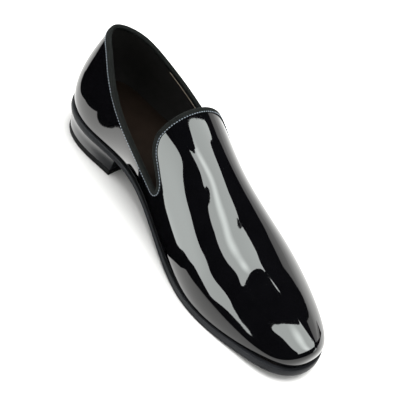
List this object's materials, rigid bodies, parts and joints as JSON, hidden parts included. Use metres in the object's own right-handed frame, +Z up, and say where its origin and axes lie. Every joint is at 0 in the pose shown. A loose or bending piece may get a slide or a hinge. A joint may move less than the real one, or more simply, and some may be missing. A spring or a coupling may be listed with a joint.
{
  "type": "slip-on shoe",
  "caption": "Left slip-on dress shoe: hollow patent leather upper with a high vamp, side notches and a bound topline, on a thin sole with a low heel.",
  "frame": {"origin": "on the floor under the middle of the shoe's bounding box", "axes": "+X towards the toe, +Y to the wearer's left (outer side of this left shoe), +Z up"},
  "size_m": [0.303, 0.0986, 0.0964],
  "materials": {
    "patent_leather": "high-gloss black patent",
    "binding_fabric": "matte ribbed band",
    "insole_leather": "smooth, soft sheen",
    "sole_rubber": "smooth matte",
    "heel_leather": "satin painted edge",
    "lift_rubber": "matte"
  },
  "bodies": {
    "root": {"upper": "patent_leather", "topline_binding": "binding_fabric", "insole": "insole_leather", "outsole": "sole_rubber", "heel_block": "heel_leather", "heel_top_lift": "lift_rubber"}
  },
  "joints": []
}
